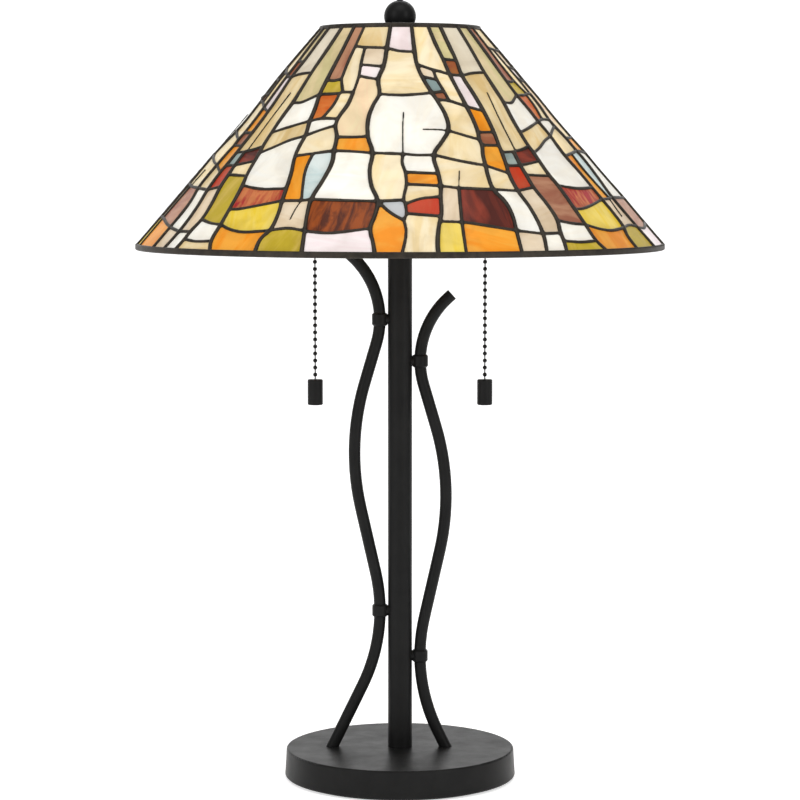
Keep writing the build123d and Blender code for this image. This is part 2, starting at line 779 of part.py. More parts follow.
# Each pane goes round its corners; a "+" takes the corner from the next quarter.
panes = {
    "A1": "L0 L1 L2 L3 L4 a0 a1 M3 M2 M1 M0",
    "A2": "L4 L5 L6 a2 a3 M5 M4 M3 a1 a0",
    "A3": "L6 L7 L8 a4 a5 M6 M5 a3 a2",
    "A4": "L8 L9 L10 L11 a6 a7 M10 M9 M8 M7 M6 a5 a4",
    "A5": "L11 L12 a8 a9 M11 M10 a7 a6",
    "A6": "L12 L13 a10 a11 M13 M12 M11 a9 a8",
    "A7": "L13 L14 L15 M15 M14 M13 a11 a10",
    "B1": "M0 M1 M2 b0 N3 N2 N1 N0",
    "B2": "M2 M3 b1 b3 N4 b2 N3 b0",
    "B3": "M3 M4 M5 b5 b4 b3 b1",
    "B4": "b3 b4 b5 N7 N6 N5 N4",
    "B5": "M5 M6 b6 N8 N7 b5",
    "B6": "M6 M7 M8 b7 N10 N9 N8 b6",
    "B7": "M8 M9 M10 M11 b10 b9 b8 b7",
    "B8": "b7 b8 b9 b10 N13 N12 N11 N10",
    "B9": "M11 M12 M13 b11 N15 N14 N13 b10",
    "B10": "M13 M14 M15 N16 N15 b11",
    "C1": "N0 N1 O0 Q1 Q0",
    "C2": "N1 N2 N3 b2 N4 N5 O4 O3 O2 O1 O0",
    "C3": "O0 O1 O2 Q2 Q1",
    "C4": "O2 O3 c0 Q3 Q2",
    "C5": "O3 O4 N5 N6 N7 N8 N9 c1 Q7 Q6 Q5 Q4 Q3 c0",
    "C6": "N9 N10 c2 Q8 Q7 c1",
    "C7": "N10 N11 N12 N13 Q11 Q10 Q9 Q8 c2",
    "C8": "N13 N14 N15 c3 Q13 Q12 Q11",
    "C9": "N15 N16 Q15 Q14 Q13 c3",
    "D1": "Q0 Q1 d0 R1 R0",
    "D2": "Q1 Q2 Q3 Q4 d1 R4 R3 R2 R1 d0",
    "D3": "Q4 Q5 Q6 Q7 Q8 d2 d3 R9 R8 R7 R6 R5 R4 d1",
    "D4": "Q8 Q9 Q10 Q11 d7 d6 d5 d4 d2",
    "D5": "d2 d4 d5 R10 R9 d3",
    "D6": "d5 d6 R11 R10",
    "D7": "d6 d7 d8 d9 R12 R11",
    "D8": "d8 d10 R13 R12 d9",
    "D9": "Q11 d12 d11 d10 d8 d7",
    "D10": "Q11 Q12 Q13 Q14 Q15 d14 d13 d11 d12",
    "D11": "d10 d11 d13 d14 R16 R15 R14 R13",
    "E1": "R0 R1 R2 e0 e1 T3 T2 T1 T0",
    "E2": "T0 T1 T2 S2 S1 S0",
    "E3": "T2 T3 S3 S2",
    "E4": "R2 R3 e2 e0",
    "E5": "R3 R4 e3 e2",
    "E6": "R4 R5 e4 e3",
    "E7": "e0 e2 e3 e4 T5 T4 T3 e1",
    "E8": "T3 T4 T5 S5 S4 S3",
    "E9": "R5 R6 R7 e5 T8 T7 T6 T5 e4",
    "E10": "T5 T6 T7 S6 S5",
    "E11": "T7 T8 T9 S7 S6",
    "E12": "R7 R8 R9 e6 T11 T10 T9 T8 e5",
    "E13": "T9 T10 T11 S10 S9 S8 S7",
    "E14": "R9 R10 R11 e7 T13 T12 T11 e6",
    "E15": "T11 T12 T13 S11 S10",
    "E16": "R11 R12 R13 R14 e8 e7",
    "E17": "e7 e8 e9 T16 T15 T14 T13",
    "E18": "T13 T14 T15 T16 S13 S12 S11",
    "E19": "R14 R15 R16 e10 e8",
    "E20": "e8 e10 T17 T16 e9",
    "E21": "T16 T17 S14 S13",
    "F1": "S0 S1 S2 S3 f0 L2+ L1+ L0+",
    "F2": "S3 S4 S5 S6 S7 S8 U0 f1 L7+ L6+ L5+ L4+ L3+ L2+ f0",
    "F3": "S8 S9 U1 U0",
    "F4": "U0 U1 L9+ L8+ L7+ f1",
    "F5": "U1 U2 L10+ L9+",
    "F6": "S9 S10 S11 U3 U2 U1",
    "F7": "S11 S12 S13 U6 U5 U4 U3",
    "F8": "U2 U3 U4 U5 f2 L13+ L12+ L11+ L10+",
    "F9": "U5 U6 U7 f3 L14+ L13+ f2",
    "F10": "S13 S14 U8 U7 U6",
    "F11": "U7 U8 L15+ L14+ f3",
}
# Which glass each pane is cut from; the second table says where a quarter differs from the first.
glass = {
    "white": "A2 A4 B5 C7 D3 D5 E18 F1 F9 F10",
    "pink": "C4 C9 D1 E8",
    "cream": "A1 B4 B6 C2 C5 D2 D4 D7 D11 E1 E2 E7 E9 E12 E14 E15 F2 F5",
    "beige": "A3 B9 C3 E4 E16 E21 F7",
    "amber": "A7 B7 C1 C6 D6 D10 E3 E6 E10 E13 E20",
    "yellow": "A6 B2 B10 E19 F11",
    "red": "A5 B3 D8 F6",
    "brown": "B1 C8 E11 E17 F4 F8",
    "blue": "B8 D9 E5 F3",
}
swaps = {
    1: {"C8": "pink", "F8": "brown"},
    2: {"C8": "red", "E3": "yellow"},
    3: {"E17": "pink", "F8": "amber", "F11": "beige"},
}

step = 360.0 / repeats
stretch = step / 90.0
mid_lift = solder_proud + glass_thick / 2


def on_cone(around, down, lift=0.0):
    """A point on the sheet's middle face, or lifted off it, from its place in the pattern."""
    share = down / 100
    r = shade_top_r + (shade_rim_r - shade_top_r) * share + (lift - mid_lift) * cos(slope)
    z = shade_top_z - (shade_top_z - shade_rim_z) * share + (lift - mid_lift) * sin(slope)
    return Vector(r * sin(radians(around)), -r * cos(radians(around)), z)


def pane_corners(name):
    """The corners of a pane as (degrees, share) pairs."""
    corners = []
    for key in panes[name].split():
        place = key.rstrip("+")
        around, down = seams[place[0]][int(place[1:])]
        shift = 90.0 if key.endswith("+") else 0.0
        corners.append(((around + shift) * stretch, down))
    return corners


def pane_plane(corners):
    """The flat working plane that touches the sheet's middle face in the middle of a pane."""
    arounds = [a for a, d in corners]
    downs = [d for a, d in corners]
    around = (min(arounds) + max(arounds)) / 2
    down = (min(downs) + max(downs)) / 2
    out = on_cone(around, down, 1) - on_cone(around, down)
    level = Vector(cos(radians(around)), sin(radians(around)), 0)
    return Plane(origin=on_cone(around, down), x_dir=level, z_dir=out)


def drawn_in(outline, margin):
    """A flat outline with every side moved inwards by a margin."""
    area = sum(p.X * q.Y - q.X * p.Y for p, q in zip(outline, outline[1:] + outline[:1]))
    turn = 1 if area > 0 else -1
    inset = []
    for before, here, after in zip(outline[-1:] + outline[:-1], outline, outline[1:] + outline[:1]):
        came_in = (here - before).normalized()
        goes_out = (after - here).normalized()
        first = Vector(-came_in.Y, came_in.X) * turn
        second = Vector(-goes_out.Y, goes_out.X) * turn
        inset.append(here + (first + second) * (margin / (1 + first.dot(second))))
    return inset


def pane_prism(name, margin):
    """A straight plug through the sheet, the pane's outline drawn in by a margin."""
    corners = pane_corners(name)
    plane = pane_plane(corners)
    flat = [plane.to_local_coords(on_cone(a, d)) for a, d in corners]
    with BuildPart() as plug:
        with BuildSketch(plane):
            with BuildLine():
                Polyline(*[(p.X, p.Y) for p in drawn_in(flat, margin)], close=True)
            make_face()
        extrude(amount=3 * glass_thick, both=True)
    return plug.part


def pane_sheet():
    """The whole conical sheet of glass between the rim channel and the top ring."""
    half = glass_thick / 2 / cos(slope)
    centre = mid_lift / cos(slope)
    with BuildPart() as made:
        with BuildSketch(Plane.XZ):
            with BuildLine():
                Polyline(
                    (outer_r(rim_top_z) - centre - half, rim_top_z),
                    (outer_r(rim_top_z) - centre + half, rim_top_z),
                    (outer_r(ring_bottom_z) - centre + half, ring_bottom_z),
                    (outer_r(ring_bottom_z) - centre - half, ring_bottom_z),
                    close=True,
                )
            make_face()
        revolve(axis=Axis.Z)
    return made.part


# Panes, each cut from the sheet, copied round the shade and sorted by the glass it is made of
glass_sheet = pane_sheet()
kinds = {name: kind for kind, names in glass.items() for name in names.split()}
cut_panes = {kind: [] for kind in glass}
for name in panes:
    pane = pane_prism(name, glass_gap / 2).intersect(glass_sheet).solids()[0]
    for quarter in range(repeats):
        kind = swaps.get(quarter, {}).get(name, kinds[name])
        cut_panes[kind].append(pane.rotate(Axis.Z, quarter * step))
for kind, pieces in cut_panes.items():
    with BuildPart() as group:
        add(pieces)
    write(f"glass_{kind}", group.part)
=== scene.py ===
"""Looks of a table lamp with a leaded glass cone shade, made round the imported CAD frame.

Metres, +Z up, origin in the middle of the base's underside, -Y towards the front.
"""
import json
import random
from math import atan2, cos, pi, radians, sin

import bmesh
import bpy
from mathutils import Matrix, Vector
from mathutils.geometry import interpolate_bezier


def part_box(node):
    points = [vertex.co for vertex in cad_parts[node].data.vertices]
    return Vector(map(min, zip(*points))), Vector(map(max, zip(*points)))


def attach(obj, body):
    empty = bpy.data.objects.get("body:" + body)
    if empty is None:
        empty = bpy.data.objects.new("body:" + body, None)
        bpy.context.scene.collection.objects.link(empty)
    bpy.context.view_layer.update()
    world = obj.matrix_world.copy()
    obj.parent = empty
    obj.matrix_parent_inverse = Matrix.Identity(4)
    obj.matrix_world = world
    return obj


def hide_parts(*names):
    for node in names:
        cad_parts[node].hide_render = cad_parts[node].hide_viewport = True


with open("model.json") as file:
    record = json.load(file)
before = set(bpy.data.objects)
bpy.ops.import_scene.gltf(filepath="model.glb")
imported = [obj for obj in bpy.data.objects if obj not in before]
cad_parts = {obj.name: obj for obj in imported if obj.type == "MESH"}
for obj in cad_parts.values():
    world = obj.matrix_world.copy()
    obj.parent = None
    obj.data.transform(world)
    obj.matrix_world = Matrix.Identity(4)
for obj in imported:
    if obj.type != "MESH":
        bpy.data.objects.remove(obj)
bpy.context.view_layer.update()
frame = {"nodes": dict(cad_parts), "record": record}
MM = 0.001

# ---------------------------------------------------------------- the shade's pattern
# One quarter of the shade, which repeats all round. Each seam is a line of solder down the shade,
# given as (degrees from the quarter's middle, hundredths of the way down the slope).
TOP, RIM = -0.5, 99.5
SEAMS = {
    "L": [(-45, TOP), (-45.5, 10), (-46.4, 21), (-46.2, 28), (-46, 34.5), (-46.8, 42), (-47, 48),
          (-46.9, 54), (-46.5, 57), (-46.3, 60.5), (-45.8, 67), (-45, 71), (-44.3, 81.5), (-44, 88),
          (-43.8, 95), (-42.4, RIM)],
    "M": [(-34, TOP), (-34, 12), (-34.3, 24.5), (-34.2, 31), (-33, 38), (-32.7, 43), (-31.7, 49.5),
          (-32, 54), (-31.9, 58.3), (-30.5, 66), (-29.9, 72.3), (-29.5, 77.5), (-29, 84),
          (-29.3, 90), (-30.6, 93.5), (-30.6, RIM)],
    "N": [(-25.7, TOP), (-26.6, 9.3), (-27.1, 16), (-26.9, 24.3), (-23.8, 30.2), (-19.2, 30.2),
          (-20, 36), (-22, 42), (-22, 45), (-20.3, 50), (-19.8, 56), (-19.3, 61), (-20.2, 68),
          (-21.8, 76.8), (-21.6, 83), (-20.9, 90), (-20, RIM)],
    "O": [(-20.3, 9.9), (-19.9, 15), (-19.6, 17.8), (-18.9, 22.8), (-18.9, 26)],
    "Q": [(-6.6, TOP), (-7.4, 10.3), (-8, 18.8), (-9.6, 24.5), (-8.3, 31.2), (-10, 36), (-11, 42),
          (-10.1, 49.8), (-8, 57), (-8.2, 64), (-7.2, 71), (-5.3, 77.5), (-5.6, 83), (-6.4, 88.8),
          (-5.5, 95), (-5, RIM)],
    "R": [(8.2, TOP), (8, 12), (8.3, 17.8), (9.8, 23.2), (12.9, 30.6), (14.2, 33.6), (16.4, 42),
          (15.8, 47.2), (13, 52), (9.8, 57.8), (10.2, 65.8), (10.3, 71), (9.9, 75.6), (9.3, 83.8),
          (8.8, 86), (7.8, 94), (7.6, RIM)],
    "S": [(29.3, TOP), (29.7, 10), (30, 15.8), (29.4, 22.8), (31, 31), (31.9, 38.6), (32, 47.8),
          (31.6, 53.7), (31.4, 56.7), (30.9, 62.5), (30.5, 65.8), (30.8, 73.3), (32.1, 81),
          (32.2, 91.5), (31, RIM)],
    "T": [(20, TOP), (21.2, 8), (22.6, 15.4), (23.3, 22.3), (24.4, 29), (25.5, 36.6), (26.1, 43),
          (26, 48), (25.5, 51.2), (25.6, 53.6), (24.7, 58), (24.3, 62.4), (23.9, 67), (24, 72.6),
          (25.9, 78), (26.4, 84), (25.9, 90), (25.2, RIM)],
    "U": [(35.8, 56.3), (35.7, 62.3), (35.9, 66.5), (36.2, 71.8), (37.7, 80), (38, 86),
          (37, 91.3), (36.7, 94.6), (36, RIM)],
    "a": [(-41.5, 34.6), (-38, 33), (-41.5, 46), (-36.5, 44.2), (-42, 54.5), (-37, 51.5),
          (-42, 71.8), (-37, 72.6), (-41, 81.2), (-36, 79.7), (-41, 89.6), (-36, 90.9)],
    "b": [(-30.5, 25), (-29, 31), (-25.3, 27.4), (-25, 30.6), (-25.8, 36), (-28.2, 41.9),
          (-27, 47), (-26.2, 57.2), (-26.5, 64), (-25.3, 72), (-24.3, 77.3), (-25, 89)],
    "c": [(-15, 23.7), (-15, 50.1), (-14, 56.3), (-15, 90.8)],
    "d": [(0, 11.8), (2, 31.6), (0.9, 57.4), (5, 57.9), (0.6, 61), (1.4, 65.2), (1.6, 70.3),
          (0.9, 77), (1.2, 78.6), (5, 76.4), (1.4, 82.6), (0.9, 85.5), (-2.2, 82.2), (1.3, 90),
          (0.4, RIM)],
    "e": [(15.7, 20.2), (19, 21), (16.5, 24.8), (18.2, 29.9), (19.2, 34.2), (20.5, 49.2),
          (17, 60.4), (14.9, 71.9), (13.8, 86.3), (18.5, 87.6), (13.3, RIM)],
    "f": [(35, 21.6), (39.6, 55.4), (42, 87.4), (41, 95.3)],
}
# Each pane goes round its corners; a "+" takes the corner from the next quarter.
PANES = {
    "A1": "L0 L1 L2 L3 L4 a0 a1 M3 M2 M1 M0",
    "A2": "L4 L5 L6 a2 a3 M5 M4 M3 a1 a0",
    "A3": "L6 L7 L8 a4 a5 M6 M5 a3 a2",
    "A4": "L8 L9 L10 L11 a6 a7 M10 M9 M8 M7 M6 a5 a4",
    "A5": "L11 L12 a8 a9 M11 M10 a7 a6",
    "A6": "L12 L13 a10 a11 M13 M12 M11 a9 a8",
    "A7": "L13 L14 L15 M15 M14 M13 a11 a10",
    "B1": "M0 M1 M2 b0 N3 N2 N1 N0",
    "B2": "M2 M3 b1 b3 N4 b2 N3 b0",
    "B3": "M3 M4 M5 b5 b4 b3 b1",
    "B4": "b3 b4 b5 N7 N6 N5 N4",
    "B5": "M5 M6 b6 N8 N7 b5",
    "B6": "M6 M7 M8 b7 N10 N9 N8 b6",
    "B7": "M8 M9 M10 M11 b10 b9 b8 b7",
    "B8": "b7 b8 b9 b10 N13 N12 N11 N10",
    "B9": "M11 M12 M13 b11 N15 N14 N13 b10",
    "B10": "M13 M14 M15 N16 N15 b11",
    "C1": "N0 N1 O0 Q1 Q0",
    "C2": "N1 N2 N3 b2 N4 N5 O4 O3 O2 O1 O0",
    "C3": "O0 O1 O2 Q2 Q1",
    "C4": "O2 O3 c0 Q3 Q2",
    "C5": "O3 O4 N5 N6 N7 N8 N9 c1 Q7 Q6 Q5 Q4 Q3 c0",
    "C6": "N9 N10 c2 Q8 Q7 c1",
    "C7": "N10 N11 N12 N13 Q11 Q10 Q9 Q8 c2",
    "C8": "N13 N14 N15 c3 Q13 Q12 Q11",
    "C9": "N15 N16 Q15 Q14 Q13 c3",
    "D1": "Q0 Q1 d0 R1 R0",
    "D2": "Q1 Q2 Q3 Q4 d1 R4 R3 R2 R1 d0",
    "D3": "Q4 Q5 Q6 Q7 Q8 d2 d3 R9 R8 R7 R6 R5 R4 d1",
    "D4": "Q8 Q9 Q10 Q11 d7 d6 d5 d4 d2",
    "D5": "d2 d4 d5 R10 R9 d3",
    "D6": "d5 d6 R11 R10",
    "D7": "d6 d7 d8 d9 R12 R11",
    "D8": "d8 d10 R13 R12 d9",
    "D9": "Q11 d12 d11 d10 d8 d7",
    "D10": "Q11 Q12 Q13 Q14 Q15 d14 d13 d11 d12",
    "D11": "d10 d11 d13 d14 R16 R15 R14 R13",
    "E1": "R0 R1 R2 e0 e1 T3 T2 T1 T0",
    "E2": "T0 T1 T2 S2 S1 S0",
    "E3": "T2 T3 S3 S2",
    "E4": "R2 R3 e2 e0",
    "E5": "R3 R4 e3 e2",
    "E6": "R4 R5 e4 e3",
    "E7": "e0 e2 e3 e4 T5 T4 T3 e1",
    "E8": "T3 T4 T5 S5 S4 S3",
    "E9": "R5 R6 R7 e5 T8 T7 T6 T5 e4",
    "E10": "T5 T6 T7 S6 S5",
    "E11": "T7 T8 T9 S7 S6",
    "E12": "R7 R8 R9 e6 T11 T10 T9 T8 e5",
    "E13": "T9 T10 T11 S10 S9 S8 S7",
    "E14": "R9 R10 R11 e7 T13 T12 T11 e6",
    "E15": "T11 T12 T13 S11 S10",
    "E16": "R11 R12 R13 R14 e8 e7",
    "E17": "e7 e8 e9 T16 T15 T14 T13",
    "E18": "T13 T14 T15 T16 S13 S12 S11",
    "E19": "R14 R15 R16 e10 e8",
    "E20": "e8 e10 T17 T16 e9",
    "E21": "T16 T17 S14 S13",
    "F1": "S0 S1 S2 S3 f0 L2+ L1+ L0+",
    "F2": "S3 S4 S5 S6 S7 S8 U0 f1 L7+ L6+ L5+ L4+ L3+ L2+ f0",
    "F3": "S8 S9 U1 U0",
    "F4": "U0 U1 L9+ L8+ L7+ f1",
    "F5": "U1 U2 L10+ L9+",
    "F6": "S9 S10 S11 U3 U2 U1",
    "F7": "S11 S12 S13 U6 U5 U4 U3",
    "F8": "U2 U3 U4 U5 f2 L13+ L12+ L11+ L10+",
    "F9": "U5 U6 U7 f3 L14+ L13+ f2",
    "F10": "S13 S14 U8 U7 U6",
    "F11": "U7 U8 L15+ L14+ f3",
}
# Which glass each pane is cut from; the second table says where a quarter differs from the first.
GLASS = {
    "white": "A2 A4 B5 C7 D3 D5 E18 F1 F9 F10",
    "pink": "C4 C9 D1 E8",
    "cream": "A1 B4 B6 C2 C5 D2 D4 D7 D11 E1 E2 E7 E9 E12 E14 E15 F2 F5",
    "beige": "A3 B9 C3 E4 E16 E21 F7",
    "amber": "A7 B7 C1 C6 D6 D10 E3 E6 E10 E13 E20",
    "yellow": "A6 B2 B10 E19 F11",
    "red": "A5 B3 D8 F6",
    "brown": "B1 C8 E11 E17 F4 F8",
    "blue": "B8 D9 E5 F3",
}
SWAPS = {
    1: {"C8": "pink", "F8": "brown"},
    2: {"C8": "red", "E3": "yellow"},
    3: {"E17": "pink", "F8": "amber", "F11": "beige"},
}

# The glass a pane is cut from has a usual tint; these panes differ from it.
KIND_TINT = {
    "white": "snow", "pink": "shell", "cream": "ivory", "beige": "tan", "amber": "amber",
    "yellow": "lemon", "red": "poppy", "brown": "maroon", "blue": "ice",
}
OWN_TINT = {
    "A1": "willow", "E2": "willow", "F2": "honey", "C1": "honey", "A3": "honey", "C5": "peach",
    "B1": "mauve", "F8": "mauve", "C8": "walnut", "E3": "rust", "E6": "brick", "B3": "ember",
    "A5": "flame", "B2": "moss", "B10": "moss", "F11": "moss", "E5": "teal", "F3": "teal",
    "D9": "smoke", "F1": "pearl", "E11": "brick",
}
SWAP_TINT = {(1, "C8"): "mauve", (3, "E17"): "mauve", (3, "F8"): "moss", (3, "F11"): "honey",
             (2, "C8"): "flame", (2, "E3"): "lemon"}
# Each tint is its main colour, the colour of its streaks and how strong they are.
TINTS = {
    "snow": ((0.93, 0.91, 0.84), (0.90, 0.83, 0.68), 0.5),
    "pearl": ((0.78, 0.70, 0.55), (0.72, 0.62, 0.45), 0.6),
    "shell": ((0.88, 0.75, 0.75), (0.88, 0.81, 0.80), 0.8),
    "ivory": ((0.86, 0.68, 0.37), (0.90, 0.79, 0.57), 0.8),
    "peach": ((0.88, 0.74, 0.46), (0.88, 0.62, 0.40), 0.7),
    "willow": ((0.62, 0.54, 0.27), (0.74, 0.58, 0.34), 0.9),
    "honey": ((0.72, 0.52, 0.23), (0.80, 0.66, 0.40), 0.9),
    "tan": ((0.72, 0.56, 0.37), (0.78, 0.66, 0.50), 0.8),
    "amber": ((0.83, 0.27, 0.010), (0.85, 0.38, 0.045), 0.9),
    "rust": ((0.42, 0.17, 0.045), (0.30, 0.08, 0.03), 0.9),
    "brick": ((0.27, 0.08, 0.035), (0.38, 0.16, 0.08), 0.8),
    "ember": ((0.56, 0.10, 0.013), (0.64, 0.22, 0.05), 0.8),
    "lemon": ((0.82, 0.58, 0.04), (0.80, 0.62, 0.14), 0.9),
    "moss": ((0.50, 0.37, 0.025), (0.62, 0.45, 0.08), 0.9),
    "poppy": ((0.56, 0.045, 0.013), (0.48, 0.09, 0.04), 0.8),
    "flame": ((0.38, 0.022, 0.026), (0.64, 0.24, 0.08), 0.75),
    "walnut": ((0.30, 0.065, 0.010), (0.085, 0.020, 0.009), 1.0),
    "maroon": ((0.085, 0.019, 0.014), (0.24, 0.040, 0.022), 1.0),
    "mauve": ((0.36, 0.13, 0.075), (0.48, 0.24, 0.14), 1.0),
    "ice": ((0.58, 0.70, 0.69), (0.72, 0.77, 0.74), 0.8),
    "teal": ((0.36, 0.43, 0.39), (0.20, 0.27, 0.26), 0.9),
    "smoke": ((0.42, 0.45, 0.47), (0.55, 0.56, 0.57), 0.8),
}
# Glass whose grain stands upright and is finer than the rest.
UPRIGHT_GRAIN = ("walnut", "flame")
# Seams that run between others, each through these corners.
CROSS_SEAMS = [
    "L4 a0 a1 M3", "L6 a2 a3 M5", "L8 a4 a5 M6", "L11 a6 a7 M10", "L12 a8 a9 M11",
    "L13 a10 a11 M13", "M2 b0 N3", "N3 b2 N4", "M3 b1 b3 N4", "b3 b4 b5", "M5 b5 N7",
    "M6 b6 N8", "M8 b7 N10", "b7 b8 b9 b10", "M11 b10 N13", "M13 b11 N15", "N4 N5",
    "N1 O0 Q1", "N1 N2 N3", "O0 O1 O2 O3 O4 N5", "O2 Q2", "O3 c0 Q3", "N9 c1 Q7", "N10 c2 Q8",
    "N13 Q11", "N15 c3 Q13", "Q1 d0 R1", "Q4 d1 R4", "Q8 d2 d3 R9", "d2 d4 d5 d6 d7 d8 d10 d11",
    "d5 R10", "d6 R11", "Q11 d7", "d8 d9 R12", "d10 R13", "Q11 d12 d11", "d11 d13 d14",
    "R2 e0 e1 T3", "e0 e2 e3 e4", "R3 e2", "R4 e3", "R5 e4 T5", "T2 S2", "T3 S3", "T5 S5",
    "R7 e5 T8", "T7 S6", "T9 S7", "R9 e6 T11", "T11 S10", "R11 e7 T13", "T13 S11",
    "e7 e8 e10", "R14 e8 e9 T16", "T16 S13", "S3 f0 L2+", "S8 U0 f1 L7+", "S9 U1 L9+",
    "U2 L10+", "S11 U3", "U5 f2 L13+", "S13 U6", "U7 f3 L14+", "N0 N1",
]
# The wide seams go down the shade; N's first five corners belong to narrow ones.
MAIN_SEAMS = [[f"{letter}{n}" for n in range(5 if letter == "N" else 0, len(SEAMS[letter]))]
              for letter in "LMNQRSTU"]
# Fine lines that end inside a pane, as places in the pattern.
FINE_LINES = [
    [(1.2, 39), (0.9, 48), (0.9, 57.4)], [(7.2, 46.7), (11, 46.8), (15.8, 47.2)],
    [(-24.3, 77.3), (-25.0, 81), (-25.4, 85.5)], [(16.2, 64.5), (15.5, 68), (14.9, 71.9)],
    [(38.3, 30), (37.2, 42), (36.7, 56)],
]

# ---------------------------------------------------------------- the shade's cone
RING_PROUD = 0.9 * MM
RING_DROP = 1.7 * MM
GLASS_SUNK = 0.5 * MM
GLASS_THICK = 3.0 * MM
QUARTERS = range(4)
ring_low, ring_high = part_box("top_ring")
rim_low, rim_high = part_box("rim_channel")
shade_rim_r = rim_high.x
shade_rim_z = (rim_low.z + rim_high.z) / 2
shade_top_r = ring_high.x - RING_PROUD
shade_top_z = ring_low.z + RING_DROP
slope = atan2(shade_rim_r - shade_top_r, shade_top_z - shade_rim_z)


def on_cone(around, down, lift=0.0):
    """A point on the shade's outer face, or lifted off it, from its place in the pattern."""
    share = down / 100
    r = shade_top_r + (shade_rim_r - shade_top_r) * share + lift * cos(slope)
    z = shade_top_z - (shade_top_z - shade_rim_z) * share + lift * sin(slope)
    return Vector((r * sin(radians(around)), -r * cos(radians(around)), z))


def place(key):
    """The (degrees, share) of a named corner; a "+" takes it from the next quarter."""
    name = key.rstrip("+")
    around, down = SEAMS[name[0]][int(name[1:])]
    return (around + 90.0 if key.endswith("+") else around, down)


def quarter_turn(quarter):
    """The turn that takes the first quarter of the shade to another one."""
    return Matrix.Rotation(quarter * pi / 2, 4, "Z")


# ---------------------------------------------------------------- objects
def linked(name, data):
    """A new object in the scene."""
    made = bpy.data.objects.new(name, data)
    bpy.context.scene.collection.objects.link(made)
    return made


def mesh_piece(name, bm, material):
    """A smooth piece from a bmesh, with its one material."""
    mesh = bpy.data.meshes.new(name)
    bm.to_mesh(mesh)
    bm.free()
    for face in mesh.polygons:
        face.use_smooth = True
    mesh.materials.append(material)
    return linked(name, mesh)


def frozen(source):
    """A piece with its curve or modifiers turned into a plain mesh."""
    graph = bpy.context.evaluated_depsgraph_get()
    graph.update()
    mesh = bpy.data.meshes.new_from_object(source.evaluated_get(graph))
    name = source.name
    bpy.data.objects.remove(source)
    mesh.name = name
    return linked(name, mesh)


# ---------------------------------------------------------------- node groups
def new_group(name, ins, outs):
    """An empty node group with its sockets."""
    group = bpy.data.node_groups.new(name, "ShaderNodeTree")
    for label, kind, value in ins:
        socket = group.interface.new_socket(label, in_out="INPUT", socket_type=kind)
        socket.default_value = value
    for label, kind in outs:
        group.interface.new_socket(label, in_out="OUTPUT", socket_type=kind)
    return group


def node(tree, kind, links=(), **values):
    """Adds a node, sets its properties and sockets, and links (input, output socket) pairs."""
    made = tree.nodes.new(kind)
    for key, value in values.items():
        if hasattr(made, key):
            setattr(made, key, value)
        else:
            made.inputs[key.replace("_", " ")].default_value = value
    for target, source in links:
        tree.links.new(source, made.inputs[target])
    return made


def grain_group():
    """Fine cast grain and slow unevenness: a height for a bump and a mask for colour."""
    group = new_group("Grain", [
        ("Vector", "NodeSocketVector", (0, 0, 0)), ("Fine", "NodeSocketFloat", 1500.0),
        ("Broad", "NodeSocketFloat", 60.0)],
        [("Height", "NodeSocketFloat"), ("Mask", "NodeSocketFloat")])
    start = node(group, "NodeGroupInput")
    end = node(group, "NodeGroupOutput")
    fine = node(group, "ShaderNodeTexNoise",
                [("Vector", start.outputs["Vector"]), ("Scale", start.outputs["Fine"])], Detail=2.0)
    broad = node(group, "ShaderNodeTexNoise",
                 [("Vector", start.outputs["Vector"]), ("Scale", start.outputs["Broad"])],
                 Detail=4.0, Roughness=0.6)
    both = node(group, "ShaderNodeMath", operation="MULTIPLY_ADD")
    group.links.new(broad.outputs["Fac"], both.inputs[0])
    both.inputs[1].default_value = 1.5
    group.links.new(fine.outputs["Fac"], both.inputs[2])
    group.links.new(both.outputs[0], end.inputs["Height"])
    group.links.new(broad.outputs["Fac"], end.inputs["Mask"])
    return group


def wisp_group():
    """Drawn-out streaks and soft clouds of opalescent sheet glass, on the pane's own map."""
    group = new_group("Wisps", [
        ("Vector", "NodeSocketVector", (0, 0, 0)), ("Streak", "NodeSocketFloat", 58.0)],
        [("Streaks", "NodeSocketFloat"), ("Cloud", "NodeSocketFloat"),
         ("Ripple", "NodeSocketFloat")])
    start = node(group, "NodeGroupInput")
    end = node(group, "NodeGroupOutput")
    drawn = node(group, "ShaderNodeMapping", [("Vector", start.outputs["Vector"])])
    drawn.inputs["Scale"].default_value = (0.28, 1.0, 1.0)
    streaks = node(group, "ShaderNodeTexNoise",
                   [("Vector", drawn.outputs[0]), ("Scale", start.outputs["Streak"])],
                   Detail=5.0, Roughness=0.55, Distortion=1.1)
    cloud = node(group, "ShaderNodeTexNoise", [("Vector", start.outputs["Vector"])],
                 Scale=34.0, Detail=3.0, Distortion=0.8)
    ripple = node(group, "ShaderNodeTexNoise", [("Vector", drawn.outputs[0])],
                  Scale=260.0, Detail=2.0, Distortion=0.6)
    for source, label in ((streaks, "Streaks"), (cloud, "Cloud"), (ripple, "Ripple")):
        group.links.new(source.outputs["Fac"], end.inputs[label])
    return group


GRAIN = grain_group()
WISPS = wisp_group()


# ---------------------------------------------------------------- materials
# A Mix node set to colours takes them on these inputs and gives the result on this output.
MIX_A, MIX_B, MIX_RESULT = 6, 7, 2


def new_material(name, **plain):
    """A material with one Principled shader whose plain socket values are given."""
    made = bpy.data.materials.new(name)
    made.use_nodes = True
    tree = made.node_tree
    shader = tree.nodes["Principled BSDF"]
    for key, value in plain.items():
        shader.inputs[key.replace("_", " ")].default_value = value
    return made, tree, shader


def use_group(tree, group, **values):
    """Places a node group in a material and sets its inputs."""
    placed = tree.nodes.new("ShaderNodeGroup")
    placed.node_tree = group
    for key, value in values.items():
        placed.inputs[key].default_value = value
    return placed


